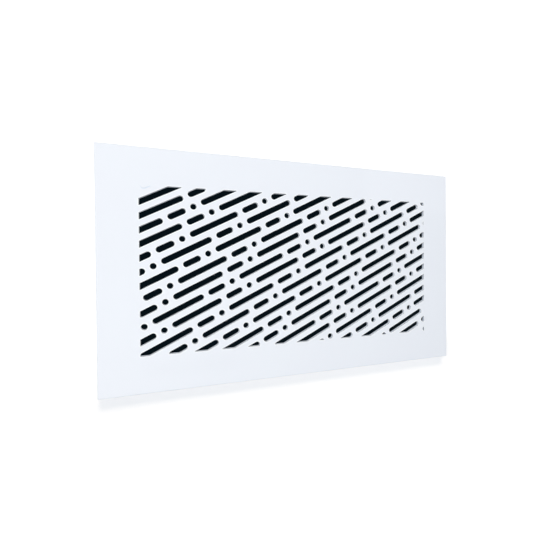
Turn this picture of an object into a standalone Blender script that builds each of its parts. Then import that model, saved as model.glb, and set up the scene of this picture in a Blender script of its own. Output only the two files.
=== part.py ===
"""A decorative vent cover: one flat sheet with a field of slanting slots, held by magnets set in its back.

Metres, +Z up. The cover stands upright, as on a wall: its front faces -Y and +X is to the viewer's right.
The origin is the centre of the sheet. Outlines of openings are worked out in the field's own plane, from the
field's lower left corner, with the first number to the right and the second one up.
"""

import math

import bmesh
import bpy
from mathutils import Vector

MM = 0.001

# The sheet
FIELD_WIDTH = 306.8 * MM
FIELD_HEIGHT = 152.4 * MM
BORDER = 34.0 * MM
SHEET_THICKNESS = 3.2 * MM
EDGE_ROUND = 0.4 * MM

# The openings. Along each row come a round hole, a long slot and a short slot, over and over.
SLOT_WIDTH = 5.1 * MM
LONG_SLOT = 49.1 * MM
SHORT_SLOT = 16.7 * MM
SLOT_GAP = 5.46 * MM
ROW_PITCH = 11.25 * MM
ROW_SLOPE = math.atan2(1, 2)
FIRST_ROW = -0.68 * MM
SMALLEST_OPENING = 0.5 * MM * MM
ARC_STEPS = 6

# Where the first round hole of a row lies along it. The eighth row starts as the first one does, and so on.
ROW_STARTS = tuple(start * MM for start in (79.1, 27.3, 14.4, 39.8, 50.1, 6.4, 45.7))

# The opening in the field's upper left corner that was never knocked out, as (row, turn, place in the turn)
BLIND_OPENING = (12, 0, 2)

# The disc magnets, each bedded in glue in a blind pocket
MAGNET_DIAMETER = 12.0 * MM
MAGNET_THICKNESS = 1.5 * MM
MAGNET_CHAMFER = 0.2 * MM
MAGNET_SIDES = 32
GLUE_GAP = 0.3 * MM

CUT_MARGIN = 2.0 * MM

SHEET_WIDTH = FIELD_WIDTH + 2 * BORDER
SHEET_HEIGHT = FIELD_HEIGHT + 2 * BORDER
SHEET_BACK = SHEET_THICKNESS / 2


def material(name, colour, roughness, metallic):
    """A plain surface with one colour."""
    made = bpy.data.materials.new(name)
    made.use_nodes = True
    shader = made.node_tree.nodes["Principled BSDF"]
    shader.inputs["Base Color"].default_value = (*colour, 1)
    shader.inputs["Roughness"].default_value = roughness
    shader.inputs["Metallic"].default_value = metallic
    return made


def mesh_object(name, bm, surface=None):
    """Puts a finished bmesh into the scene as one object."""
    mesh = bpy.data.meshes.new(name)
    bmesh.ops.recalc_face_normals(bm, faces=bm.faces)
    bm.to_mesh(mesh)
    bm.free()
    made = bpy.data.objects.new(name, mesh)
    bpy.context.collection.objects.link(made)
    if surface:
        mesh.materials.append(surface)
    return made


def hide_cutter(cutter):
    """Marks an object that only cuts others."""
    cutter.hide_render = True
    cutter.display_type = "WIRE"
    return cutter


def cut(body, cutter):
    """Takes the cutter's shape out of a body."""
    boolean = body.modifiers.new(cutter.name, "BOOLEAN")
    boolean.operation = "DIFFERENCE"
    boolean.solver = "EXACT"
    boolean.object = cutter


def opening_outline(length):
    """A slot with round ends, centred on the origin and lying along the first axis. A round hole is the shortest."""
    reach = (length - SLOT_WIDTH) / 2
    steps = ARC_STEPS + 1 if reach > 0 else ARC_STEPS
    outline = []
    for centre, start in ((reach, -math.pi / 2), (-reach, math.pi / 2)):
        for step in range(steps):
            angle = start + math.pi * step / ARC_STEPS
            outline.append(Vector((centre + SLOT_WIDTH / 2 * math.cos(angle), SLOT_WIDTH / 2 * math.sin(angle))))
    return outline


def clip(outline, axis, limit, side):
    """The part of an outline that lies on one side of a line across an axis. Side 1 keeps what is above it."""
    kept = []
    for here, after in zip(outline, outline[1:] + outline[:1]):
        here_in = (here[axis] - limit) * side >= 0
        after_in = (after[axis] - limit) * side >= 0
        if here_in:
            kept.append(here)
        if here_in != after_in:
            kept.append(here.lerp(after, (limit - here[axis]) / (after[axis] - here[axis])))
    return kept


def clip_to_field(outline):
    """The part of an outline inside the field's rectangle."""
    for axis, limit in enumerate((FIELD_WIDTH, FIELD_HEIGHT)):
        outline = clip(outline, axis, 0, 1)
        outline = clip(outline, axis, limit, -1)
    return outline


def area(outline):
    """The area inside a flat outline."""
    return abs(sum(a.cross(b) for a, b in zip(outline, outline[1:] + outline[:1]))) / 2


def opening_outlines():
    """Every opening of the field, row by row, each clipped to the field's straight sides."""
    along = Vector((math.cos(ROW_SLOPE), math.sin(ROW_SLOPE)))
    across = Vector((-along.y, along.x))
    lengths = (SLOT_WIDTH, LONG_SLOT, SHORT_SLOT)
    turn_length = sum(lengths) + len(lengths) * SLOT_GAP
    shapes = [opening_outline(length) for length in lengths]
    centres = [0.0]
    for before, after in zip(lengths, lengths[1:]):
        centres.append(centres[-1] + before / 2 + SLOT_GAP + after / 2)

    lowest_row = math.floor((-FIELD_WIDTH * along.y - FIRST_ROW) / ROW_PITCH)
    highest_row = math.ceil((FIELD_HEIGHT * along.x - FIRST_ROW) / ROW_PITCH)
    turns = math.ceil((FIELD_WIDTH * along.x + FIELD_HEIGHT * along.y) / turn_length)
    found = []
    for row in range(lowest_row, highest_row + 1):
        start = ROW_STARTS[row % len(ROW_STARTS)]
        for turn in range(-2, turns + 1):
            for place, shape in enumerate(shapes):
                if (row, turn, place) == BLIND_OPENING:
                    continue
                middle = along * (start + turn * turn_length + centres[place])
                middle += across * (FIRST_ROW + row * ROW_PITCH)
                outline = clip_to_field([middle + along * point.x + across * point.y for point in shape])
                if area(outline) > SMALLEST_OPENING:
                    found.append(outline)
    return found


def make_slot_cutter():
    """One straight prism through the sheet for each opening."""
    bm = bmesh.new()
    depth = Vector((0, SHEET_THICKNESS + 2 * CUT_MARGIN, 0))
    front = -SHEET_BACK - CUT_MARGIN
    for outline in opening_outlines():
        corners = [(point.x - FIELD_WIDTH / 2, front, point.y - FIELD_HEIGHT / 2) for point in outline]
        face = bm.faces.new([bm.verts.new(corner) for corner in corners])
        prism = bmesh.ops.extrude_face_region(bm, geom=[face])["geom"]
        bmesh.ops.translate(bm, vec=depth, verts=[part for part in prism if isinstance(part, bmesh.types.BMVert)])
    return hide_cutter(mesh_object("slot_cutter", bm))


def magnet_places():
    """The name and the place of each magnet, along the middle of the upper and lower border."""
    reach_x = (SHEET_WIDTH - BORDER) / 2
    reach_z = (SHEET_HEIGHT - BORDER) / 2
    for level, z in (("top", reach_z), ("bottom", -reach_z)):
        for side, x in (("left", -reach_x), ("middle", 0), ("right", reach_x)):
            yield f"magnet_{level}_{side}", x, z


def add_disc(bm, diameter, low, high, x=0, z=0):
    """Adds a disc whose flat sides face -Y and +Y, from one depth to another."""
    disc = bmesh.ops.create_cone(
        bm,
        cap_ends=True,
        segments=MAGNET_SIDES,
        radius1=diameter / 2,
        radius2=diameter / 2,
        depth=high - low,
    )
    for vert in disc["verts"]:
        vert.co = Vector((vert.co.x + x, (low + high) / 2 - vert.co.z, vert.co.y + z))


def make_pocket_cutter():
    """A round blind pocket for each magnet, open at the sheet's back."""
    bm = bmesh.new()
    floor = SHEET_BACK - MAGNET_THICKNESS - GLUE_GAP
    for _, x, z in magnet_places():
        add_disc(bm, MAGNET_DIAMETER + 2 * GLUE_GAP, floor, SHEET_BACK + CUT_MARGIN, x, z)
    return hide_cutter(mesh_object("pocket_cutter", bm))


def make_sheet(surface):
    """The sheet: a flat slab with eased edges, then its slots and the pockets in its back."""
    bm = bmesh.new()
    bmesh.ops.create_cube(bm, size=1)
    bmesh.ops.scale(bm, vec=(SHEET_WIDTH, SHEET_THICKNESS, SHEET_HEIGHT), verts=bm.verts)
    sheet = mesh_object("vent_sheet", bm, surface)
    edges = sheet.modifiers.new("eased_edges", "BEVEL")
    edges.width = EDGE_ROUND
    edges.segments = 2
    edges.limit_method = "ANGLE"
    cut(sheet, make_slot_cutter())
    cut(sheet, make_pocket_cutter())
    return sheet


def make_magnets(surface):
    """The disc magnets, flush with the sheet's back."""
    for name, x, z in magnet_places():
        bm = bmesh.new()
        add_disc(bm, MAGNET_DIAMETER, -MAGNET_THICKNESS, 0)
        magnet = mesh_object(name, bm, surface)
        magnet.location = (x, SHEET_BACK, z)
        chamfer = magnet.modifiers.new("chamfer", "BEVEL")
        chamfer.width = MAGNET_CHAMFER
        chamfer.limit_method = "ANGLE"
        chamfer.angle_limit = math.radians(60)
        magnet.data.shade_smooth()
        magnet.data.set_sharp_from_angle(angle=math.radians(40))


def main():
    """Clears the scene and builds the cover."""
    for old in list(bpy.data.objects):
        bpy.data.objects.remove(old, do_unlink=True)
    gloss_white = material("gloss_white", (0.88, 0.90, 0.93), 0.2, 0)
    nickel = material("nickel", (0.68, 0.67, 0.64), 0.25, 1)
    make_sheet(gloss_white)
    make_magnets(nickel)


main()
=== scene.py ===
"""Looks of a slotted vent cover: a gloss white sheet, shown a finger's breadth in front of a white wall.

Metres, +Z up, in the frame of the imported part: the sheet's front faces -Y and the origin is its centre. A contour
lies in the sheet's plane, and its points are (x, z) pairs that run anticlockwise as seen from the front. Every
new surface is a profile carried along a contour, or a flat face between contours.
"""

import logging
import math
from collections.abc import Iterator
from dataclasses import dataclass, field
from enum import Enum

import bpy
import numpy as np
from mathutils import Euler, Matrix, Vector
from mathutils.geometry import delaunay_2d_cdt
from numpy.typing import NDArray


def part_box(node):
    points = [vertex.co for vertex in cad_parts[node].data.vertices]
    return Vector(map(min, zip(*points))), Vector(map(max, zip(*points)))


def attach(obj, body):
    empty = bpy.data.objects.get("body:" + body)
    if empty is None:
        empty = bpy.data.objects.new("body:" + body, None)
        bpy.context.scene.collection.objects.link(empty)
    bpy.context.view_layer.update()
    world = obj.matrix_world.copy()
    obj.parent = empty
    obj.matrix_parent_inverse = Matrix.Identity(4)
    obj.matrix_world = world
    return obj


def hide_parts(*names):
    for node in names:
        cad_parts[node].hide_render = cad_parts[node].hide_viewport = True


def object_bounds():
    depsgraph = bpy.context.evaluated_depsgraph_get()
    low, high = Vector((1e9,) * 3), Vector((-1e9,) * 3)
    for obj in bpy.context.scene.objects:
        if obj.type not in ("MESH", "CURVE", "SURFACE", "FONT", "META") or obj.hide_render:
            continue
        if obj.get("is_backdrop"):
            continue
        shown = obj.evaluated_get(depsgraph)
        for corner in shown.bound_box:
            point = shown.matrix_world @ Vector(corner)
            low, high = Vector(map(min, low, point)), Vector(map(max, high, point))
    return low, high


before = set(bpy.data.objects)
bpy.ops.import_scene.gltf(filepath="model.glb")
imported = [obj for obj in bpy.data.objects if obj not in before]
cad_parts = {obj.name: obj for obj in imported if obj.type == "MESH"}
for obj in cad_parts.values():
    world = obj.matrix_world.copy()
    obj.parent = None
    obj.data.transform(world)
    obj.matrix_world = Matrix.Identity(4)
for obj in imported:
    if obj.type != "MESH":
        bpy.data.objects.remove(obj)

LOG = logging.getLogger("vent_cover")
MM = 0.001
BODY = "root"
FRONT = -1
BACK = 1
HOLE = 1
SOLID = -1

# How near two points may be: in an outline, in a welded mesh, and in a face that is split in triangles
TINY = 0.001 * MM
WELD = 1e-5 * MM
FILL_LIMIT = 1e-5 * MM

# The steps of a quarter circle: on a lip, on an eased edge, and at a corner of the duct's mouth
LIP_STEPS = 2
EDGE_STEPS = 4
MOUTH_STEPS = 6

# The mesh attribute that says how near a cut edge a point counts, which the faces' painted highlight follows
RIM = "rim"

# The sockets of a mix node that hold its two colours and the mixed one
FIRST_COLOUR = 6
SECOND_COLOUR = 7
MIXED_COLOUR = 2

Array = NDArray[np.float64]
Indices = NDArray[np.int64]
Pair = tuple[float, float]
Triple = tuple[float, float, float]
Colour = Triple
Socket = bpy.types.NodeSocket
Material = bpy.types.Material

WHITE: Colour = (1.0, 1.0, 1.0)


class Opening(Enum):
    """The kinds of opening, in the order in which they follow each other along a row. The value is the length."""

    ROUND_HOLE = 5.1 * MM
    LONG_SLOT = 49.1 * MM
    SHORT_SLOT = 16.7 * MM


class Skin(Enum):
    """The finishes of the sheet. The value is the place in its list of materials."""

    FACE = 0
    CUT = 1
    EDGE = 2
    LINE = 3


def put(name: str, data: bpy.types.ID) -> bpy.types.Object:
    """Puts a mesh, a lamp or a camera into the scene.

    Args:
        name: The object's name.
        data: What it shows.

    Returns:
        The object, at the origin.
    """
    made = bpy.data.objects.new(name, data)
    bpy.context.scene.collection.objects.link(made)
    return made


def directions(angle: Array) -> Array:
    """The unit vectors at some angles: (cos a, sin a)."""
    return np.stack((np.cos(angle), np.sin(angle)), axis=1)


def grid_triangles(number: Indices) -> Indices:
    """Splits each square of a grid of point numbers in two along the same diagonal.

    Args:
        number: The number of each point, by row and column.

    Returns:
        The triangles, as rows of three numbers.
    """
    squares = np.stack((number[:-1, :-1], number[:-1, 1:], number[1:, 1:], number[1:, :-1]), axis=-1)
    squares = squares.reshape(-1, 4)
    return np.concatenate((squares[:, (0, 1, 2)], squares[:, (0, 2, 3)]))


@dataclass(frozen=True)
class Contour:
    """A closed convex outline with a direction away from it at each point.

    Attributes:
        points: The outline's points. A sharp corner has its point several times, once for each direction.
        outward: A unit vector away from the outline for each point.
    """

    points: Array
    outward: Array

    @classmethod
    def around(cls, polygon: Array, fan_step: float = math.radians(18)) -> "Contour":
        """Gives a polygon its outward directions.

        A corner's direction is halfway between those of its two sides. Where the outline turns by more than two
        fan steps, the corner is repeated and its directions turn evenly from one side's to the next side's.

        Args:
            polygon: The corners, anticlockwise.
            fan_step: The largest turn between two directions at a sharp corner.

        Returns:
            The contour.
        """
        sides = np.roll(polygon, -1, axis=0) - polygon
        polygon = polygon[np.hypot(sides[:, 0], sides[:, 1]) > TINY]
        sides = np.roll(polygon, -1, axis=0) - polygon
        bearing = np.arctan2(-sides[:, 0], sides[:, 1])
        before = np.roll(bearing, 1)
        turn = (bearing - before + math.pi) % (2 * math.pi) - math.pi
        copies = np.where(turn > 2 * fan_step, np.ceil(turn / fan_step).astype(int) + 1, 1)
        corner = np.repeat(np.arange(len(polygon)), copies)
        place = np.arange(len(corner)) - np.repeat(np.cumsum(copies) - copies, copies)
        share = np.where(copies[corner] > 1, place / np.maximum(copies[corner] - 1, 1), 0.5)
        angle = before[corner] + share * turn[corner]
        return cls(polygon[corner], directions(angle))

    @classmethod
    def circle(cls, centre: Pair, radius: float, sides: int) -> "Contour":
        """A round contour: centre + radius × (cos a, sin a), for as many a as it has sides, evenly spaced."""
        outward = directions(np.arange(sides) * 2 * math.pi / sides)
        return cls(np.asarray(centre) + radius * outward, outward)

    @classmethod
    def rounded_rectangle(cls, half_width: float, half_height: float, radius: float, steps: int) -> "Contour":
        """Makes a rectangle about the origin with a quarter circle at each corner.

        Args:
            half_width: Half its width.
            half_height: Half its height.
            radius: The corners' radius.
            steps: How many steps each quarter circle has.

        Returns:
            The contour.
        """
        quarter = np.arange(4).repeat(steps + 1)
        angle = (quarter + np.tile(np.arange(steps + 1), 4) / steps) * math.pi / 2
        signs = np.array(((1, 1), (-1, 1), (-1, -1), (1, -1)))[quarter]
        centres = signs * np.array((half_width - radius, half_height - radius))
        return cls(centres + radius * directions(angle), directions(angle))

    def ring(self, offset: float) -> Array:
        """The outline moved outwards by an offset."""
        return self.points + offset * self.outward


@dataclass(frozen=True)
class Profile:
    """A line drawn across a contour, to be carried along it.

    Attributes:
        offsets: How far outside the contour each point lies.
        depths: Its place along Y.
        lean: The surface's normal there, as (share along the outward direction, share along Y).
        rim: How near a cut edge it counts, from 0 to 1.
    """

    offsets: Array
    depths: Array
    lean: Array
    rim: Array

    @classmethod
    def flat(cls, start: float, stop: float, depth: float, facing: int, rim: Pair = (0, 0)) -> "Profile":
        """A flat stretch from one offset to another, facing FRONT or BACK, with a rim value at each end."""
        lean = np.array(((0.0, facing), (0.0, facing)))
        return cls(np.array((start, stop)), np.full(2, depth), lean, np.array(rim, dtype=float))

    @classmethod
    def eased(cls, side: int, radius: float, face: float, facing: int, steps: int) -> "Profile":
        """A quarter round from a face down to a wall that stands on the contour.

        With a from 0 to a right angle, the offset is side × radius × (1 - sin a), the point lies
        radius × (1 - cos a) below the face, and the normal turns from the face's to the wall's.

        Args:
            side: HOLE where the material lies outside the contour, or SOLID where it lies inside.
            radius: Its radius.
            face: The face's place along Y.
            facing: FRONT or BACK.
            steps: How many steps it has.

        Returns:
            The profile.
        """
        angle = np.linspace(0, math.pi / 2, steps + 1)
        offsets = side * radius * (1 - np.sin(angle))
        depths = face - facing * radius * (1 - np.cos(angle))
        lean = np.stack((-side * np.sin(angle), facing * np.cos(angle)), axis=1)
        return cls(offsets, depths, lean, np.zeros(steps + 1))

    @classmethod
    def wall(cls, side: int, start: float, stop: float) -> "Profile":
        """A straight wall on the contour itself, from one place along Y to another. The side is as in eased."""
        return cls(np.zeros(2), np.array((start, stop)), np.array(((-side, 0.0), (-side, 0.0))), np.zeros(2))


@dataclass
class Shell:
    """Collects patches of surface and welds them into one closed mesh of triangles.

    Attributes:
        places: The points of each patch.
        normals: Their normals.
        rims: Their rim values.
        corners: Each patch's triangles, as numbers of points in the whole shell.
        skins: The finish of each triangle.
        count: How many points there are so far.
    """

    places: list[Array] = field(default_factory=list)
    normals: list[Array] = field(default_factory=list)
    rims: list[Array] = field(default_factory=list)
    corners: list[Indices] = field(default_factory=list)
    skins: list[Indices] = field(default_factory=list)
    count: int = 0

    def add(self, places: Array, normals: Array, rims: Array, triangles: Indices, skin: int) -> None:
        """Adds one patch, with each triangle turned to face the way its normals point.

        Args:
            places: The patch's points.
            normals: Their normals.
            rims: Their rim values.
            triangles: Its triangles, as numbers of those points.
            skin: The place of its finish.
        """
        first, second, third = (places[triangles[:, corner]] for corner in range(3))
        facing = np.cross(second - first, third - first)
        turned = np.einsum("ij,ij->i", facing, normals[triangles].sum(axis=1)) < 0
        triangles = np.where(turned[:, None], triangles[:, ::-1], triangles)
        self.places.append(places)
        self.normals.append(normals)
        self.rims.append(rims)
        self.corners.append(triangles + self.count)
        self.skins.append(np.full(len(triangles), skin))
        self.count += len(places)

    def sweep(self, contour: Contour, profile: Profile, skin: int = 0) -> None:
        """Carries a profile along a closed contour.

        Point (i, j) is contour point j plus offset i times its outward direction, at depth i. Its normal leans
        the same way. The grid closes on itself along the contour.

        Args:
            contour: The contour.
            profile: The profile.
            skin: The place of the finish.
        """
        rows, columns = len(profile.offsets), len(contour.points)
        flat = contour.points + profile.offsets[:, None, None] * contour.outward
        across = profile.lean[:, :1, None] * contour.outward
        depth = np.broadcast_to(profile.depths[:, None], (rows, columns))
        along = np.broadcast_to(profile.lean[:, 1:], (rows, columns))
        places = np.stack((flat[..., 0], depth, flat[..., 1]), axis=-1).reshape(-1, 3)
        normals = np.stack((across[..., 0], along, across[..., 1]), axis=-1).reshape(-1, 3)
        number = np.pad(np.arange(rows * columns).reshape(rows, columns), ((0, 0), (0, 1)), "wrap")
        self.add(places, normals, np.repeat(profile.rim, columns), grid_triangles(number), skin)

    def fill(self, outer: Array, holes: list[Array], depth: float, facing: int, skin: int = 0) -> None:
        """Fills the flat face between an outer ring and the holes in it.

        It is a Delaunay triangulation that keeps every ring's sides. A triangle stays if it lies in the outer
        ring and in no hole.

        Args:
            outer: The outer ring.
            holes: The rings of the holes.
            depth: The face's place along Y.
            facing: FRONT or BACK.
            skin: The place of the finish.
        """
        rings = [outer, *holes]
        flat = np.concatenate(rings)
        ends = np.cumsum([len(ring) for ring in rings])
        faces = [list(range(end - len(ring), end)) for ring, end in zip(rings, ends)]
        found = delaunay_2d_cdt([Vector(point) for point in flat / MM], [], faces, 0, FILL_LIMIT / MM, True)
        _, _, triangles, sources, _, owners = found
        kept = np.array([triangle for triangle, owner in zip(triangles, owners) if list(owner) == [0]])
        original = np.array([source[0] for source in sources])[kept]
        places = np.insert(flat, 1, depth, axis=1)
        normals = np.broadcast_to((0.0, facing, 0.0), places.shape)
        self.add(places, normals, np.zeros(len(flat)), original, skin)

    def piece(self, name: str, finishes: list[Material]) -> bpy.types.Object:
        """Welds the patches and puts them into the scene as one object.

        Points that coincide become one, triangles without area go, and each corner keeps its own patch's normal.

        Args:
            name: The object's name.
            finishes: Its materials.

        Returns:
            The object, at the origin.
        """
        places, normals = np.concatenate(self.places), np.concatenate(self.normals)
        corners, skins = np.concatenate(self.corners), np.concatenate(self.skins)
        cells = np.round(places / WELD).astype(np.int64)
        _, first, merged = np.unique(cells, axis=0, return_index=True, return_inverse=True)
        welded = merged.reshape(-1)[corners]
        whole = (np.roll(welded, 1, axis=1) != welded).all(axis=1)
        welded, corners, skins = welded[whole], corners[whole], skins[whole]
        mesh = bpy.data.meshes.new(name)
        mesh.from_pydata(places[first].tolist(), [], welded.tolist())
        mesh.polygons.foreach_set("material_index", skins.astype(np.int32))
        rims = np.concatenate(self.rims)[first].astype(np.float32)
        mesh.attributes.new(RIM, "FLOAT", "POINT").data.foreach_set("value", rims)
        mesh.shade_smooth()
        mesh.normals_split_custom_set(normals[corners].reshape(-1, 3).tolist())
        for finish in finishes:
            mesh.materials.append(finish)
        LOG.info("%s: %d triangles", name, len(welded))
        return put(name, mesh)


class Graph:
    """A node tree that is being filled in."""

    def __init__(self, tree: bpy.types.NodeTree) -> None:
        """Takes over a tree and empties it."""
        self.tree = tree
        tree.nodes.clear()

    def add(self, kind: str, inputs: dict[str | int, object] | None = None, **settings: object) -> bpy.types.Node:
        """Adds a node.

        Args:
            kind: The node's type.
            inputs: For each input, a value or the socket that feeds it.
            settings: The node's own settings.

        Returns:
            The node.
        """
        node = self.tree.nodes.new(kind)
        for name, value in settings.items():
            setattr(node, name, value)
        for name, value in (inputs or {}).items():
            if isinstance(value, Socket):
                self.tree.links.new(value, node.inputs[name])
            else:
                node.inputs[name].default_value = value
        return node

    def math(self, operation: str, first: object, second: object) -> Socket:
        """Works out one number from two, each a value or a socket."""
        return self.add("ShaderNodeMath", {0: first, 1: second}, operation=operation).outputs[0]

    def vector(self, operation: str, first: object, second: object) -> Socket:
        """Works out one vector from two, each a value or a socket."""
        return self.add("ShaderNodeVectorMath", {0: first, 1: second}, operation=operation).outputs[0]

    def bump(self, height: Socket, depth: float) -> Socket:
        """Turns a mask into a relief as high as depth."""
        return self.add("ShaderNodeBump", {"Height": height, "Distance": depth, "Strength": 1.0}).outputs["Normal"]

    def ramp(self, factor: Socket, low: float, high: float) -> Socket:
        """Stretches a factor from 0 to 1 over a range from low to high."""
        return self.add("ShaderNodeMapRange", {"Value": factor, "To Min": low, "To Max": high}).outputs["Result"]

    def mix(self, factor: object, first: object, second: object) -> Socket:
        """Mixes two colours, each a value or a socket, by a factor."""
        inputs = {"Factor": factor, FIRST_COLOUR: first, SECOND_COLOUR: second}
        return self.add("ShaderNodeMix", inputs, data_type="RGBA").outputs[MIXED_COLOUR]


class Effect(Enum):
    """The effects that several finishes share. Each is a node group, made once.

    The value is the group's name, and the detail and the distortion of its noise.
    """

    CLOUDING = ("clouding", 2.0, 0.6)
    GRAIN = ("grain", 3.0, 0.0)

    def group(self) -> bpy.types.NodeTree:
        """Finds or makes the effect's node group.

        Clouding is a soft noise, and grain a fine one that can be drawn out along an axis. Both take a feature's
        size along each axis and put out a mask from 0 to 1.

        Returns:
            The node group.
        """
        name, detail, distortion = self.value
        made = bpy.data.node_groups.get(name)
        if made:
            return made
        made = bpy.data.node_groups.new(name, "ShaderNodeTree")
        made.interface.new_socket("Feature Size", in_out="INPUT", socket_type="NodeSocketVector")
        contrast = made.interface.new_socket("Contrast", in_out="INPUT", socket_type="NodeSocketFloat")
        contrast.default_value = 1
        made.interface.new_socket("Mask", in_out="OUTPUT", socket_type="NodeSocketFloat")
        graph = Graph(made)
        given = graph.add("NodeGroupInput").outputs
        place = graph.add("ShaderNodeTexCoord").outputs["Object"]
        scaled = graph.vector("DIVIDE", place, given["Feature Size"])
        texture = {"Vector": scaled, "Scale": 1.0, "Detail": detail, "Distortion": distortion}
        noise = graph.add("ShaderNodeTexNoise", texture).outputs["Fac"]
        spread = graph.math("MULTIPLY", graph.math("SUBTRACT", noise, 0.5), given["Contrast"])
        mask = graph.add("ShaderNodeClamp", {"Value": graph.math("ADD", spread, 0.5)}).outputs["Result"]
        graph.add("NodeGroupOutput", {"Mask": mask})
        return made


@dataclass(frozen=True)
class Mask:
    """An effect at one scale, as a material uses it.

    Attributes:
        effect: The effect.
        size: The size of its features along X, Y and Z.
        contrast: How strongly the mask departs from a half.
    """

    effect: Effect
    size: Triple
    contrast: float = 1

    def put(self, graph: Graph) -> Socket:
        """Places the effect in a material.

        Args:
            graph: The material's nodes.

        Returns:
            The mask.
        """
        node = graph.add("ShaderNodeGroup", node_tree=self.effect.group())
        node.inputs["Feature Size"].default_value = self.size
        node.inputs["Contrast"].default_value = self.contrast
        return node.outputs["Mask"]


def opaque(colour: Colour) -> tuple[float, float, float, float]:
    """A colour with full alpha."""
    return (*colour, 1)


def new_material(name: str) -> tuple[Material, Graph]:
    """Makes a material that has no nodes yet.

    Args:
        name: Its name.

    Returns:
        The material, and the graph of its nodes.
    """
    made = bpy.data.materials.new(name)
    made.use_nodes = True
    return made, Graph(made.node_tree)


@dataclass(frozen=True)
class Finish:
    """A finish of the cover: a colour between two tones, a roughness between two values, and a fine relief.

    Attributes:
        name: The material's name.
        light: The lighter of its two tones.
        dark: The darker one.
        roughness: The lowest and highest roughness.
        tint: The mask that mixes the tones.
        relief: The mask of the relief, if it isn't that of the tones.
        depth: The relief's height, or 0 for none.
        worn: Whether the roughness follows the relief instead of the tones.
        metallic: 1 for a metal.
    """

    name: str
    light: Colour
    dark: Colour
    roughness: Pair
    tint: Mask
    relief: Mask | None = None
    depth: float = 0
    worn: bool = False
    metallic: float = 0

    def colour(self, graph: Graph, tint: Socket) -> Socket:
        """The colour, mixed by the tint's mask."""
        return graph.mix(tint, opaque(self.dark), opaque(self.light))

    def material(self) -> Material:
        """Makes the finish's material.

        Returns:
            The material.
        """
        made, graph = new_material(self.name)
        tint = self.tint.put(graph)
        relief = self.relief.put(graph) if self.relief else tint
        roughness = graph.ramp(relief if self.worn else tint, *self.roughness)
        inputs = {"Base Color": self.colour(graph, tint), "Roughness": roughness, "Metallic": self.metallic}
        if self.depth:
            inputs["Normal"] = graph.bump(relief, self.depth)
        shader = graph.add("ShaderNodeBsdfPrincipled", inputs)
        graph.add("ShaderNodeOutputMaterial", {"Surface": shader.outputs[0]})
        return made


@dataclass(frozen=True)
class GlossWhite(Finish):
    """The sheet's faces: gloss white plastic with faint waves, a little bluish, with a painted highlight, a whiter
    band, along every cut.

    Attributes:
        cut_rim: The painted highlight's white next to a cut.
    """

    name: str = "gloss_white"
    light: Colour = (0.875, 0.895, 0.935)
    dark: Colour = (0.862, 0.868, 0.92)
    roughness: Pair = (0.04, 0.08)
    tint: Mask = Mask(Effect.CLOUDING, (150 * MM, 150 * MM, 90 * MM))
    relief: Mask = Mask(Effect.CLOUDING, (14 * MM, 14 * MM, 14 * MM))
    depth: float = 0.006 * MM
    # Painted highlight: the white band along every cut
    cut_rim: Colour = (0.98, 0.985, 0.99)

    def colour(self, graph: Graph, tint: Socket) -> Socket:
        """The mixed tones, turned to cut_rim, the painted highlight's white, where the rim value is 1."""
        rim = graph.add("ShaderNodeAttribute", attribute_name=RIM).outputs["Fac"]
        return graph.mix(rim, super().colour(graph, tint), opaque(self.cut_rim))


@dataclass(frozen=True)
class ShadedCutWall(Finish):
    """The walls that the cutter left, with fine lines, and painted shade: pale at the front face, darker and darker
    into the sheet.

    Attributes:
        front: The front face's place along Y.
        fade: How far into the sheet the painted shade grows until the pale tone is gone.
        stagger: How much less or more that is from line to line, as a share.
    """

    name: str = "cut_wall_painted_shade"
    light: Colour = (0.74, 0.79, 0.88)
    # The painted shade's tone, deep in the sheet
    dark: Colour = (0.012, 0.020, 0.028)
    roughness: Pair = (0.35, 0.55)
    tint: Mask = Mask(Effect.GRAIN, (0.3 * MM, 20 * MM, 0.3 * MM), 1.8)
    depth: float = 0.01 * MM
    front: float = 0
    fade: float = 4.0 * MM
    stagger: float = 0.2

    def colour(self, graph: Graph, tint: Socket) -> Socket:
        """Works out the colour by the distance from the front face, as painted shade that darkens the wall inward.

        Args:
            graph: The material's nodes.
            tint: The mask of the fine lines.

        Returns:
            The colour.
        """
        place = graph.add("ShaderNodeTexCoord").outputs["Object"]
        depth = graph.add("ShaderNodeSeparateXYZ", {"Vector": place}).outputs["Y"]
        nearest, furthest = (self.front + share * self.fade for share in (1 - self.stagger, 1 + self.stagger))
        span = {"Value": depth, "From Min": self.front, "From Max": graph.ramp(tint, nearest, furthest)}
        # Painted shade: the wall darkens with depth into the sheet
        shade_inward = graph.add("ShaderNodeMapRange", span, interpolation_type="SMOOTHSTEP").outputs["Result"]
        return graph.mix(shade_inward, opaque(self.light), opaque(self.dark))


@dataclass(frozen=True)
class OpeningShadeLine(Finish):
    """Painted shade: a fine near-black line along each opening, with flecks, that widens the opening's dark. It
    makes the openings read as in the photograph.
    """

    name: str = "painted_shade_line"
    light: Colour = (0.030, 0.036, 0.046)
    dark: Colour = (0.008, 0.011, 0.015)
    roughness: Pair = (0.45, 0.65)
    tint: Mask = Mask(Effect.GRAIN, (0.5 * MM, 0.5 * MM, 0.5 * MM), 1.8)


@dataclass(frozen=True)
class ShadedSawnEdge(Finish):
    """The sheet's outer edge: sawn, sanded smooth along its length and left matt, and painted a shade greyer than
    the faces as painted shade along the outline.
    """

    name: str = "sawn_edge_and_painted_shade"
    # Both tones are greyer than the faces: painted shade along the outline
    light: Colour = (0.77, 0.79, 0.84)
    dark: Colour = (0.65, 0.68, 0.73)
    roughness: Pair = (0.30, 0.50)
    tint: Mask = Mask(Effect.GRAIN, (4.0 * MM, 0.25 * MM, 4.0 * MM), 1.8)
    depth: float = 0.01 * MM


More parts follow.
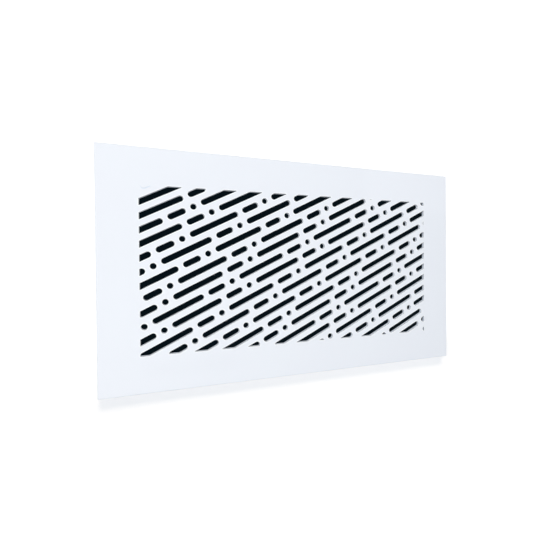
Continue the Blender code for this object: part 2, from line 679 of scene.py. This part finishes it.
@dataclass(frozen=True)
class NickelPlate(Finish):
    """The magnets' bright nickel plating, with a faint cloud and fine scratches."""

    name: str = "nickel_plate"
    light: Colour = (0.68, 0.66, 0.62)
    dark: Colour = (0.52, 0.505, 0.47)
    roughness: Pair = (0.16, 0.34)
    tint: Mask = Mask(Effect.CLOUDING, (4 * MM, 4 * MM, 4 * MM), 1.8)
    relief: Mask = Mask(Effect.GRAIN, (6 * MM, 0.12 * MM, 0.12 * MM), 2.0)
    depth: float = 0.002 * MM
    worn: bool = True
    metallic: float = 1


@dataclass(frozen=True)
class SetGlue(Finish):
    """The glue round a magnet: set resin, milky with an amber cast."""

    name: str = "set_glue"
    light: Colour = (0.80, 0.77, 0.68)
    dark: Colour = (0.66, 0.62, 0.50)
    roughness: Pair = (0.18, 0.32)
    tint: Mask = Mask(Effect.CLOUDING, (2 * MM, 2 * MM, 2 * MM), 2.0)


@dataclass(frozen=True)
class SlotField:
    """The field of slanting openings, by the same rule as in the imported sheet.

    Along each row come a round hole, a long slot and a short slot, over and over. The rows are parallel and evenly
    spaced, and each starts at its own place. What reaches past the field's four sides is cut off straight.

    Attributes:
        width: The field's width.
        height: Its height.
        slot_width: The width of every opening.
        gap: The gap between two openings of a row.
        row_pitch: The distance between two rows.
        slope: The rows' angle with the horizontal.
        first_row: How far row 0 lies from the field's lower left corner.
        row_starts: Where each row's first round hole lies along it. The eighth row starts as the first does.
        smallest: The area under which an opening is left out.
        spare_turns: How many turns come before a row's first round hole.
        blind: The opening that was scored but never knocked out, as (row, turn, place in the turn).
        arc_steps: How many steps a round end has.
    """

    width: float
    height: float
    slot_width: float = Opening.ROUND_HOLE.value
    gap: float = 5.46 * MM
    row_pitch: float = 11.25 * MM
    slope: float = math.atan2(1, 2)
    first_row: float = -0.68 * MM
    row_starts: tuple[float, ...] = tuple(mm * MM for mm in (79.1, 27.3, 14.4, 39.8, 50.1, 6.4, 45.7))
    smallest: float = 0.5 * MM * MM
    spare_turns: int = 2
    blind: tuple[int, int, int] = (12, 0, 2)
    arc_steps: int = 15

    def shape(self, kind: Opening) -> Array:
        """Draws an opening about the origin, along the first axis.

        Each end is half a circle: (± reach + r cos a, r sin a), with r half the slot's width. A round hole has no
        reach.

        Args:
            kind: The kind of opening.

        Returns:
            Its outline, anticlockwise.
        """
        radius = self.slot_width / 2
        reach = kind.value / 2 - radius
        steps = np.arange(self.arc_steps + (reach > 0))
        angle = np.concatenate((steps, steps + self.arc_steps)) * math.pi / self.arc_steps - math.pi / 2
        centre = np.repeat((reach, -reach), len(steps))
        return np.stack((centre, np.zeros_like(centre)), axis=1) + radius * directions(angle)

    @staticmethod
    def cut_straight(outline: Array, depth: Array) -> Array:
        """Keeps the part of a convex outline on the inner side of a line, with a new point at each crossing.

        Args:
            outline: The outline.
            depth: How far inside the line each of its points lies.

        Returns:
            The outline of what is left.
        """
        after = np.roll(depth, -1)
        inside, crossing = depth >= 0, (depth >= 0) != (after >= 0)
        share = (depth / np.where(crossing, depth - after, 1))[:, None]
        between = outline + share * (np.roll(outline, -1, axis=0) - outline)
        order = np.concatenate((np.flatnonzero(inside), np.flatnonzero(crossing) + 0.5))
        return np.concatenate((outline[inside], between[crossing]))[np.argsort(order)]

    def cut_to_field(self, outline: Array) -> Array:
        """Cuts an outline off at the field's four sides.

        Args:
            outline: The outline, about the field's lower left corner.

        Returns:
            The outline of what is left.
        """
        for axis, limit in enumerate((self.width, self.height)):
            outline = self.cut_straight(outline, outline[:, axis])
            outline = self.cut_straight(outline, limit - outline[:, axis])
        return outline

    @staticmethod
    def area(outline: Array) -> float:
        """The area inside an outline: half the sum of the cross products of neighbouring points."""
        after = np.roll(outline, -1, axis=0)
        return float(np.sum(outline[:, 0] * after[:, 1] - outline[:, 1] * after[:, 0])) / 2

    def openings(self) -> Iterator[tuple[tuple[int, int, int], Array]]:
        """Works out every opening in the field.

        Yields:
            Its key, as (row, turn, place in the turn), and its outline about the sheet's centre.
        """
        along = np.array((math.cos(self.slope), math.sin(self.slope)))
        across = np.array((-along[1], along[0]))
        axes = np.stack((along, across))
        lengths = np.array([kind.value for kind in Opening])
        turn_length = lengths.sum() + len(lengths) * self.gap
        centres = np.concatenate(((0,), np.cumsum((lengths[:-1] + lengths[1:]) / 2 + self.gap)))
        shapes = [self.shape(kind) @ axes for kind in Opening]
        lowest_row = math.floor((-self.width * along[1] - self.first_row) / self.row_pitch)
        highest_row = math.ceil((self.height * along[0] - self.first_row) / self.row_pitch)
        turns = math.ceil((self.width * along[0] + self.height * along[1]) / turn_length)
        for row in range(lowest_row, highest_row + 1):
            start = self.row_starts[row % len(self.row_starts)]
            for turn in range(-self.spare_turns, turns + 1):
                for place, shape in enumerate(shapes):
                    middle = (start + turn * turn_length + centres[place], self.first_row + row * self.row_pitch)
                    outline = self.cut_to_field(shape + np.array(middle) @ axes)
                    if len(outline) > 2 and self.area(outline) > self.smallest:
                        yield (row, turn, place), outline - np.array((self.width, self.height)) / 2


@dataclass(frozen=True)
class ScoredArc:
    """The faint curved line where an opening was scored but never knocked out.

    Attributes:
        width: The groove's full width.
        depth: Its depth in the middle.
        steps: How many steps it has along its length.
        ribs: How many points it has across.
        taper: How early its width runs out towards its ends.
        narrowest: The width at its ends, as a share of its full width.
    """

    width: float = 0.8 * MM
    depth: float = 0.7 * MM
    steps: int = 28
    ribs: int = 7
    taper: float = 0.4
    narrowest: float = 0.1

    def add_to(self, shell: Shell, outline: Array, top: float, face: float) -> Array:
        """Adds the groove to the sheet's front.

        Its middle line is the outline below the field's top side. With s from 0 to 1 along it and u from -1 to 1
        across it, it is as wide as width × (sin πs) to the power of taper, or its narrowest if that is more, and
        as deep as depth × sin πs × (1 - u²).

        Args:
            shell: The sheet.
            outline: The opening's outline.
            top: The height of the field's top side.
            face: The front face's place along Y.

        Returns:
            The groove's outer ring, which the front face leaves open.
        """
        at_top = outline[:, 1] > top - TINY
        start = np.flatnonzero(at_top & ~np.roll(at_top, -1))[0]
        line = np.roll(outline, -start, axis=0)
        line = line[: np.count_nonzero(~at_top) + 2]
        run = np.concatenate(((0,), np.cumsum(np.hypot(*np.diff(line, axis=0).T))))
        share = np.linspace(0, 1, self.steps + 1)
        middle = np.stack([np.interp(share * run[-1], run, line[:, axis]) for axis in range(2)], axis=1)
        heading = np.gradient(middle, axis=0)
        heading /= np.hypot(heading[:, 0], heading[:, 1])[:, None]
        aside = np.stack((heading[:, 1], -heading[:, 0]), axis=1)
        swell = np.sin(math.pi * share)
        half = self.width / 2 * np.maximum(np.abs(swell) ** self.taper, self.narrowest)
        rib = np.linspace(-1, 1, self.ribs)
        flat = middle[:, None] + (half[:, None] * rib)[..., None] * aside[:, None]
        sink = self.depth * np.abs(swell)[:, None] * (1 - rib**2)
        places = np.stack((flat[..., 0], face + sink, flat[..., 1]), axis=-1)
        normals = np.cross(np.gradient(places, axis=0), np.gradient(places, axis=1))
        normals *= np.where(normals[..., 1:2] > 0, -1, 1)
        normals /= np.linalg.norm(normals, axis=-1, keepdims=True)
        number = np.arange(sink.size).reshape(sink.shape)
        rims = np.zeros(number.size)
        # The groove takes the cut walls' finish, so their painted shade darkens it with depth
        shell.add(places.reshape(-1, 3), normals.reshape(-1, 3), rims, grid_triangles(number), Skin.CUT.value)
        return np.concatenate((flat[:, -1], flat[-1, -2:0:-1], flat[::-1, 0], flat[0, 1:-1]))


@dataclass(frozen=True)
class Magnet:
    """One disc magnet, flush in its pocket in the sheet's back.

    Attributes:
        name: Where it sits, as in the name of its solid.
        pocket_clearance: The gap for glue, round it and under it.
        chamfer: The size of its eased edge.
        sides: How many points it has all round.
        glue_sink: How far the glue's middle lies under its edges.
        glue_inset: How far the glue stays off the magnet and the pocket's wall.
        glue_points: How many points there are across its top.
    """

    name: str
    pocket_clearance: float = 0.3 * MM
    chamfer: float = 0.2 * MM
    sides: int = 96
    glue_sink: float = 0.25 * MM
    glue_inset: float = 0.02 * MM
    glue_points: int = 7

    @property
    def box(self) -> tuple[Vector, Vector]:
        """The lowest and highest corners of its solid."""
        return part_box(self.name)

    @property
    def centre(self) -> Pair:
        """Its middle, as (x, z)."""
        low, high = self.box
        return (low.x + high.x) / 2, (low.z + high.z) / 2

    @property
    def radius(self) -> float:
        """Its radius."""
        low, high = self.box
        return (high.x - low.x) / 2

    def cut_pocket(self, shell: Shell, back: float, easing: float) -> Array:
        """Adds its blind pocket to the sheet.

        Args:
            shell: The sheet.
            back: The back face's place along Y.
            easing: The radius of the pocket's mouth.

        Returns:
            The ring of the mouth, which the back face leaves open.
        """
        radius = self.radius + self.pocket_clearance
        floor = self.box[0].y - self.pocket_clearance
        mouth = Contour.circle(self.centre, radius, self.sides)
        # The pocket takes the cut walls' finish, with its painted shade
        shell.sweep(mouth, Profile.eased(HOLE, easing, back, BACK, LIP_STEPS), Skin.CUT.value)
        shell.sweep(mouth, Profile.wall(HOLE, back - easing, floor), Skin.CUT.value)
        shell.sweep(mouth, Profile.flat(0, -radius, floor, BACK), Skin.CUT.value)
        return mouth.ring(easing)

    def build(self, nickel: Material, glue: Material) -> None:
        """Makes the disc and the ring of glue round it.

        Args:
            nickel: The disc's finish.
            glue: The glue's finish.
        """
        low, high = self.box
        rim = Contour.circle(self.centre, self.radius, self.sides)
        disc = Shell()
        for face, facing in ((low.y, FRONT), (high.y, BACK)):
            disc.sweep(rim, Profile.flat(-self.radius, -self.chamfer, face, facing))
            disc.sweep(rim, Profile.eased(SOLID, self.chamfer, face, facing, EDGE_STEPS))
        disc.sweep(rim, Profile.wall(SOLID, low.y + self.chamfer, high.y - self.chamfer))
        piece = disc.piece(self.name.replace("magnet", "magnet_disc"), [nickel])
        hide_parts(self.name)
        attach(piece, BODY)
        self.build_glue(low.y, high.y, glue)

    def build_glue(self, low: float, high: float, glue: Material) -> None:
        """Makes the ring of glue, whose top sags between the pocket's wall and the magnet.

        Its section is closed, and its top sinks by glue_sink × sin πt, with t from 0 to 1 across it.

        Args:
            low: Where the magnet starts along Y.
            high: Where it stops.
            glue: The glue's finish.
        """
        across = np.linspace(self.glue_inset, self.pocket_clearance - self.glue_inset, self.glue_points)
        share = np.linspace(0, 1, self.glue_points)
        top = high - self.chamfer - self.glue_sink * np.sin(math.pi * share)
        slope = -self.glue_sink * math.pi * np.cos(math.pi * share) / (across[-1] - across[0])
        lean = np.stack((-slope, np.ones_like(slope)), axis=1) / np.hypot(slope, 1)[:, None]
        magnet_rim = Contour.circle(self.centre, self.radius, self.sides)
        inner = Contour.circle(self.centre, self.radius + across[0], self.sides)
        outer = Contour.circle(self.centre, self.radius + across[-1], self.sides)
        ring = Shell()
        ring.sweep(magnet_rim, Profile(across, top, lean, np.zeros_like(top)))
        ring.sweep(inner, Profile.wall(HOLE, low, top[0]))
        ring.sweep(outer, Profile.wall(SOLID, low, top[-1]))
        ring.sweep(magnet_rim, Profile.flat(across[0], across[-1], low, FRONT))
        piece = ring.piece(self.name.replace("magnet", "glue_ring"), [glue])
        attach(piece, BODY)


@dataclass(frozen=True)
class SlottedSheet:
    """The sheet itself, with fine round ends, eased edges and the magnets' pockets.

    Attributes:
        magnets: The magnets in its back.
        border: The plain border round the field.
        edge_round: The radius of its outer edges.
        lip: The radius at the front and the back of an opening.
        line_width: The width of the painted shade line along an opening.
        sliver: The area under which an opening's painted shade line grows thinner.
        rim_width: The width of the painted highlight round that.
    """

    magnets: tuple[Magnet, ...]
    border: float = 34.0 * MM
    edge_round: float = 0.4 * MM
    lip: float = 0.06 * MM
    line_width: float = 0.22 * MM
    sliver: float = 10 * MM * MM
    rim_width: float = 1.3 * MM

    def build(self, finishes: dict[Skin, Material]) -> None:
        """Makes the sheet in place of its solid.

        Args:
            finishes: The material of each of its finishes.
        """
        low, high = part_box("vent_sheet")
        front, back = low.y, high.y
        slots = SlotField(high.x - low.x - 2 * self.border, high.z - low.z - 2 * self.border)
        shell = Shell()
        front_rings, back_rings = [], []
        for key, outline in slots.openings():
            if key == slots.blind:
                front_rings.append(ScoredArc().add_to(shell, outline, slots.height / 2, front))
                continue
            opening = Contour.around(outline)
            line = self.lip + self.line_width * min(1.0, slots.area(outline) / self.sliver)
            self.add_opening(shell, opening, line, front, back)
            front_rings.append(opening.ring(line + self.rim_width))
            back_rings.append(opening.ring(self.lip))
        LOG.info("openings: %d", len(back_rings))
        back_rings += [magnet.cut_pocket(shell, back, self.lip) for magnet in self.magnets]
        edge = Contour.rounded_rectangle(high.x, high.z, self.edge_round, EDGE_STEPS)
        for place, facing, rings in ((front, FRONT, front_rings), (back, BACK, back_rings)):
            easing = Profile.eased(SOLID, self.edge_round, place, facing, EDGE_STEPS)
            # The eased edges and the outer wall take the sawn edge's finish, with its painted shade along the
            # outline
            shell.sweep(edge, easing, Skin.EDGE.value)
            shell.fill(edge.ring(-self.edge_round), rings, place, facing)
        shell.sweep(edge, Profile.wall(SOLID, front + self.edge_round, back - self.edge_round), Skin.EDGE.value)
        piece = shell.piece("slotted_sheet", [finishes[skin] for skin in Skin])
        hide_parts("vent_sheet")
        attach(piece, BODY)

    def add_opening(self, shell: Shell, opening: Contour, line: float, front: float, back: float) -> None:
        """Adds one opening's painted highlight rim, painted shade line, lips and wall.

        Args:
            shell: The sheet.
            opening: The opening's contour.
            line: How far the painted shade line reaches from the contour.
            front: The front face's place along Y.
            back: The back face's place along Y.
        """
        # Painted highlight: a whiter band round the opening
        shell.sweep(opening, Profile.flat(line + self.rim_width, line, front, FRONT, (0, 1)))
        # Painted shade: a near-black line round the opening, widening its dark
        shell.sweep(opening, Profile.flat(line, self.lip, front, FRONT), Skin.LINE.value)
        shell.sweep(opening, Profile.eased(HOLE, self.lip, front, FRONT, LIP_STEPS), Skin.LINE.value)
        shell.sweep(opening, Profile.wall(HOLE, front + self.lip, back - self.lip), Skin.CUT.value)
        shell.sweep(opening, Profile.eased(HOLE, self.lip, back, BACK, 1))


@dataclass(frozen=True)
class StageFinish:
    """A finish for the stage. It shows to the camera only, from its front, and lets all light by.

    Attributes:
        name: The material's name.
        colour: What it reflects.
        glow: What it adds for the camera.
    """

    name: str
    colour: Colour
    glow: Colour

    def tones(self, graph: Graph) -> tuple[object, object]:
        """What it reflects and what it adds for the camera, each as a value or a socket."""
        return opaque(self.colour), opaque(self.glow)

    def material(self) -> Material:
        """Makes the finish's material.

        Returns:
            The material.
        """
        made, graph = new_material(self.name)
        path = graph.add("ShaderNodeLightPath").outputs
        behind = graph.add("ShaderNodeNewGeometry").outputs["Backfacing"]
        shown = graph.math("MULTIPLY", path["Is Camera Ray"], graph.math("SUBTRACT", 1.0, behind))
        colour, glow = self.tones(graph)
        plain = graph.add("ShaderNodeBsdfDiffuse", {"Color": colour}).outputs[0]
        own = graph.add("ShaderNodeEmission", {"Color": glow}).outputs[0]
        both = graph.add("ShaderNodeAddShader", {0: plain, 1: own}).outputs[0]
        clear = graph.add("ShaderNodeBsdfTransparent").outputs[0]
        result = graph.add("ShaderNodeMixShader", {0: shown, 1: clear, 2: both}).outputs[0]
        graph.add("ShaderNodeOutputMaterial", {"Surface": result})
        return made


@dataclass(frozen=True)
class WallFinish(StageFinish):
    """The backdrop's finish: plain white, but for a patch where the cover's shadow falls.

    The colour and the glow are those of the patch.

    Attributes:
        right_glow: What it adds at the patch's right end. The glow is for its left end.
        middle: The patch's middle, as (x, z).
        reach: Half its width and half its height.
        fade: How far past its edge the white is plain, as a share of its reach.
        outside: What the backdrop reflects outside the patch.
    """

    right_glow: Colour
    middle: Pair
    reach: Pair
    fade: float = 0.2
    outside: Colour = (0.15, 0.15, 0.15)

    def tones(self, graph: Graph) -> tuple[object, object]:
        """Works out the colours over the wall.

        A point's distance from the patch's middle is measured in its reaches. Inside the patch the glow runs from
        left to right between its two ends, and past its edge it goes to white.

        Args:
            graph: The material's nodes.

        Returns:
            The sockets of what it reflects and of the glow.
        """
        place = graph.add("ShaderNodeTexCoord").outputs["Object"]
        offset = graph.vector("SUBTRACT", place, (self.middle[0], 0.0, self.middle[1]))
        scaled = graph.vector("MULTIPLY", offset, (1 / self.reach[0], 0.0, 1 / self.reach[1]))
        away = graph.add("ShaderNodeVectorMath", {0: scaled}, operation="LENGTH").outputs["Value"]
        across = graph.add("ShaderNodeSeparateXYZ", {"Vector": scaled}).outputs["X"]
        sideways = graph.add("ShaderNodeMapRange", {"Value": across, "From Min": -1.0}).outputs["Result"]
        edge = {"Value": away, "From Min": 1.0, "From Max": 1 + self.fade}
        outward = graph.add("ShaderNodeMapRange", edge).outputs["Result"]
        colour = graph.mix(outward, opaque(self.colour), opaque(self.outside))
        inside = graph.mix(sideways, opaque(self.glow), opaque(self.right_glow))
        return colour, graph.mix(outward, inside, opaque(WHITE))


def put_on_stage(mesh: bpy.types.Mesh, finish: Material) -> bpy.types.Object:
    """Puts a mesh into the scene as part of the stage.

    Args:
        mesh: The mesh.
        finish: Its material.

    Returns:
        Its object.
    """
    mesh.materials.append(finish)
    made = put(mesh.name, mesh)
    made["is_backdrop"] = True
    return made


@dataclass(frozen=True)
class ReflectionCard:
    """A grey card before or behind the cover that is seen in its gloss alone.

    Attributes:
        name: The card's name.
        low: Its lower left corner, as (x, z).
        high: Its upper right corner, as (x, z).
        shade: Its brightness, where the surroundings have 1.
        depth: Its place along Y.
    """

    name: str
    low: Pair
    high: Pair
    shade: float
    depth: float = -1.2

    def build(self) -> None:
        """Makes the card and its material, and hides it from everything but reflections."""
        made, graph = new_material(self.name)
        grey = graph.add("ShaderNodeEmission", {"Color": opaque((self.shade,) * 3)})
        graph.add("ShaderNodeOutputMaterial", {"Surface": grey.outputs[0]})
        (left, bottom), (right, top) = self.low, self.high
        corners = [(x, self.depth, z) for x, z in ((left, bottom), (left, top), (right, top), (right, bottom))]
        mesh = bpy.data.meshes.new(self.name)
        mesh.from_pydata(corners, [], [(0, 1, 2, 3)])
        card = put_on_stage(mesh, made)
        card.visible_camera = card.visible_diffuse = card.visible_shadow = card.visible_transmission = False


@dataclass(frozen=True)
class SoftLamp:
    """A square lamp or a wide sun that shines on the sheet's centre. It doesn't show in the gloss.

    Attributes:
        name: The lamp's name.
        place: Where it stands.
        power: A square lamp's power in watts, or a sun's strength.
        side: A square lamp's side, or 0 for a sun.
        colour: Its colour.
        disc: How wide a sun's disc is, in degrees.
    """

    name: str
    place: Triple
    power: float
    side: float = 0
    colour: Colour = WHITE
    disc: float = 40

    def build(self) -> None:
        """Makes the lamp."""
        lamp = bpy.data.lights.new(self.name, "AREA" if self.side else "SUN")
        if self.side:
            lamp.size = self.side
        else:
            lamp.angle = math.radians(self.disc)
        lamp.energy = self.power
        lamp.color = self.colour
        made = put(self.name, lamp)
        made.location = self.place
        made.rotation_euler = (-Vector(self.place)).to_track_quat("-Z", "Y").to_euler()
        made.visible_glossy = False


@dataclass(frozen=True)
class Studio:
    """The white wall with a near-black sheet in front of it, painted shade for the inside of a duct, the floor, the
    lamps and the surrounding light.

    Attributes:
        wall_gap: How far the wall lies behind the sheet's front.
        floor_drop: How far the floor lies under the sheet's centre.
        cove: The radius between the wall and the floor.
        cove_steps: How many steps that curve has.
        reach: How far the wall and the floor run.
        patch_reach: Half the width and height of the patch where the cover's shadow falls.
        patch: What the patch reflects.
        patch_glows: What it adds for the camera, at its left and its right end.
        mouth_gap: How far the near-black sheet of painted duct shade lies behind the sheet's back.
        mouth_margin: How far it reaches past the slotted field.
        mouth_corner: The radius of its corners.
        mouth: What it reflects.
        mouth_glow: What it adds for the camera.
        surroundings: The colour of the light from all round.
        ambient: Its strength.
        cards: The grey cards for the gloss.
        lamps: A key above, three faint fills round the front, and a soft sun behind at each side.
    """

    wall_gap: float = 12.5 * MM
    floor_drop: float = 0.45
    cove: float = 0.12
    cove_steps: int = 16
    reach: float = 2.5
    patch_reach: Pair = (0.21, 0.05)
    patch: Colour = (0.77, 0.66, 0.52)
    patch_glows: tuple[Colour, Colour] = ((0.222, 0.317, 0.460), (0.331, 0.411, 0.533))
    mouth_gap: float = 0.4 * MM
    mouth_margin: float = 5 * MM
    mouth_corner: float = 4 * MM
    mouth: Colour = (0.002, 0.003, 0.004)
    mouth_glow: Colour = (0.0004, 0.0028, 0.0045)
    surroundings: Colour = (0.977, 0.989, 1.0)
    ambient: float = 0.3
    cards: tuple[ReflectionCard, ...] = (
        ReflectionCard("card_left", (-2.0, -1.5), (0.743, 1.8), 0.6),
        ReflectionCard("card_low_right", (0.743, -1.5), (2.5, 0.25), 0.6),
        ReflectionCard("card_streak", (-0.22, -0.41), (0.146, -0.375), 0.15, -1.19),
        ReflectionCard("card_behind", (-2.5, -2.0), (2.5, 0.0), 0.45, 1.2),
    )
    lamps: tuple[SoftLamp, ...] = (
        SoftLamp("key_above", (-0.12, -1.25, 1.30), 12.0, 0.42),
        SoftLamp("fill_left", (-1.10, -0.90, 0.15), 4.5, 0.90, (0.97, 1.0, 0.99)),
        SoftLamp("fill_right", (1.10, -0.90, 0.15), 1.5, 0.90, (0.45, 0.74, 1.0)),
        SoftLamp("fill_low", (-0.30, -1.20, -0.35), 5.8, 0.60, (0.963, 0.989, 1.0)),
        SoftLamp("sun_behind_left", (-0.85, 0.5, 0.3), 1.6),
        SoftLamp("sun_behind_right", (0.85, 0.5, 0.3), 1.6),
    )

    def build(self) -> None:
        """Builds the whole studio round the sheet."""
        low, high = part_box("vent_sheet")
        self.backdrop(low.y + self.wall_gap, low.z)
        inset = self.mouth_margin - SlottedSheet.border
        self.duct_shade_sheet(high.x + inset, high.z + inset, high.y + self.mouth_gap)
        for card in self.cards:
            card.build()
        self.world()
        for lamp in self.lamps:
            lamp.build()

    def backdrop(self, wall: float, bottom: float) -> None:
        """Makes the wall and the floor as one sheet.

        Its section runs down the wall, along a quarter circle and out over the floor, and is drawn out along X.

        Args:
            wall: The wall's place along Y.
            bottom: The height of the cover's bottom edge.
        """
        angle = np.linspace(0, math.pi / 2, self.cove_steps + 1)
        depths = np.concatenate(((wall,), wall - self.cove * (1 - np.cos(angle)), (wall - self.reach,)))
        curve = self.cove * (1 - np.sin(angle)) - self.floor_drop
        heights = np.concatenate(((self.reach,), curve, (-self.floor_drop,)))
        columns = np.array((-self.reach, self.reach))
        grid = np.stack(np.broadcast_arrays(columns[:, None], depths, heights), axis=-1)
        mesh = bpy.data.meshes.new("backdrop")
        number = np.arange(grid[..., 0].size).reshape(grid.shape[:2])
        squares = np.stack((number[0, :-1], number[0, 1:], number[1, 1:], number[1, :-1]), axis=-1)
        mesh.from_pydata(grid.reshape(-1, 3).tolist(), [], squares.tolist())
        mesh.shade_smooth()
        glow, right_glow = self.patch_glows
        finish = WallFinish("plain_white", self.patch, glow, right_glow, (0.0, bottom), self.patch_reach)
        put_on_stage(mesh, finish.material())

    def duct_shade_sheet(self, half_width: float, half_height: float, depth: float) -> None:
        """Makes a near-black sheet behind the slots, painted shade for the inside of a duct.

        Args:
            half_width: Half its width.
            half_height: Half its height.
            depth: Its place along Y.
        """
        ring = Contour.rounded_rectangle(half_width, half_height, self.mouth_corner, MOUTH_STEPS).points
        mesh = bpy.data.meshes.new("duct_shade_sheet")
        mesh.from_pydata(np.insert(ring, 1, depth, axis=1).tolist(), [], [list(range(len(ring)))])
        # Painted shade: the duct's dark, a near-black sheet that glows a faint teal
        put_on_stage(mesh, StageFinish("duct_painted_shade", self.mouth, self.mouth_glow).material())

    def world(self) -> None:
        """Makes the light from all round: soft on the object, white to the camera and in reflections."""
        world = bpy.data.worlds.new("surroundings")
        bpy.context.scene.world = world
        world.use_nodes = True
        graph = Graph(world.node_tree)
        path = graph.add("ShaderNodeLightPath").outputs
        seen = graph.math("MAXIMUM", path["Is Camera Ray"], path["Is Glossy Ray"])
        seen = graph.math("MAXIMUM", seen, path["Is Transmission Ray"])
        lit = tuple(self.ambient * part for part in self.surroundings)
        light = graph.add("ShaderNodeBackground", {"Color": graph.mix(seen, opaque(lit), opaque(WHITE))})
        graph.add("ShaderNodeOutputWorld", {"Surface": light.outputs[0]})


@dataclass(frozen=True)
class PhotoCamera:
    """The camera, at the photograph's point of view.

    Attributes:
        place: Where it stands.
        turn: Its rotation about X, Y and Z, in degrees.
        frame_px: The side of the square picture, in pixels.
        focal_px: The focal length, in those pixels.
        axis_px: How far right of the picture's middle its axis lies, in those pixels.
        sensor: The sensor's width in millimetres.
        clip: The nearest and the furthest that it sees.
    """

    place: Triple = (-133.29 * MM, -374.69 * MM, 6.36 * MM)
    turn: Triple = (89.3646, 0.4377, -22.3727)
    frame_px: int = 533
    focal_px: float = 380.0
    axis_px: float = 54.0
    sensor: float = 36.0
    clip: Pair = (0.01, 20)

    def build(self) -> None:
        """Makes the camera and gives it to the scene."""
        lens = bpy.data.cameras.new("photo_camera")
        lens.sensor_width = self.sensor
        lens.lens = self.sensor * self.focal_px / self.frame_px
        lens.shift_x = -self.axis_px / self.frame_px
        lens.clip_start, lens.clip_end = self.clip
        made = put("photo_camera", lens)
        made.location = self.place
        made.rotation_euler = Euler([math.radians(angle) for angle in self.turn], "XYZ")
        bpy.context.scene.camera = made


def main() -> None:
    """Builds the cover and its surroundings."""
    logging.basicConfig(level=logging.INFO, format="%(name)s: %(message)s")
    cad_box = [list(corner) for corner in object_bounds()]
    bpy.context.scene.view_settings.view_transform = "Standard"
    magnets = tuple(Magnet(name) for name in sorted(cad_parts) if name.startswith("magnet_"))
    finishes = {
        Skin.FACE: GlossWhite().material(),
        Skin.CUT: ShadedCutWall(front=cad_box[0][1]).material(),
        Skin.EDGE: ShadedSawnEdge().material(),
        Skin.LINE: OpeningShadeLine().material(),
    }
    SlottedSheet(magnets).build(finishes)
    nickel, glue = NickelPlate().material(), SetGlue().material()
    for magnet in magnets:
        magnet.build(nickel, glue)
    Studio().build()
    PhotoCamera().build()


if __name__ == "__main__":
    main()
